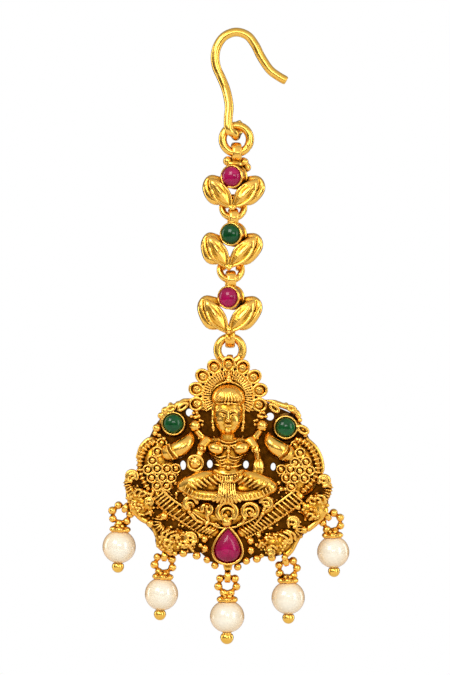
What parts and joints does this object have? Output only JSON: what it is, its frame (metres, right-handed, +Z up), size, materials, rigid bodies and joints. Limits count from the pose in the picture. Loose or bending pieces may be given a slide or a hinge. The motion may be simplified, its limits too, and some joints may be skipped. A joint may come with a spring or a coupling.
{
  "type": "maang tikka",
  "caption": "Hair ornament: forehead pendant with a seated figure and two peacocks, hung on leaf links from a hair hook, with pearl drops.",
  "frame": {"origin": "the inside top of the hook's bend, where the hook sits in the hair and the jewel hangs from it", "axes": "+Z up along the hanging chain, -Y towards the viewer of the front, +X to that viewer's right"},
  "size_m": [0.0443, 0.0083, 0.111],
  "materials": {
    "bright_gold": "polished yellow gold plating on brass wire",
    "antique_gold": "antiqued gold plating, polished on the high places and dark brown in the recesses",
    "ruby": "polished deep magenta-red glass cabochon",
    "emerald": "polished deep green glass cabochon",
    "pearl": "cream pearl lustre"
  },
  "bodies": {
    "chain": {"hook": "bright_gold", "top_ring": "bright_gold", "ring_2": "bright_gold", "ring_3": "bright_gold", "link_1": "antique_gold", "link_2": "antique_gold", "link_3": "antique_gold", "link_1_stone": "ruby", "link_2_stone": "emerald", "link_3_stone": "ruby"},
    "pendant": {"pendant_ring": "bright_gold", "pendant": "antique_gold", "emerald_left": "emerald", "emerald_right": "emerald", "ruby_drop": "ruby", "drop_1_cap": "antique_gold", "drop_1_pearl": "pearl", "drop_1_pin": "bright_gold", "drop_2_cap": "antique_gold", "drop_2_pearl": "pearl", "drop_2_pin": "bright_gold", "drop_3_cap": "antique_gold", "drop_3_pearl": "pearl", "drop_3_pin": "bright_gold", "drop_4_cap": "antique_gold", "drop_4_pearl": "pearl", "drop_4_pin": "bright_gold", "drop_5_cap": "antique_gold", "drop_5_pearl": "pearl", "drop_5_pin": "bright_gold"}
  },
  "joints": [
    {"name": "pendant_swing", "type": "hinge", "parent": "chain", "child": "pendant", "pos_m": [-0.00019, 0, -0.05414], "axis": [1, 0, 0], "range_deg": [-60, 60]}
  ]
}
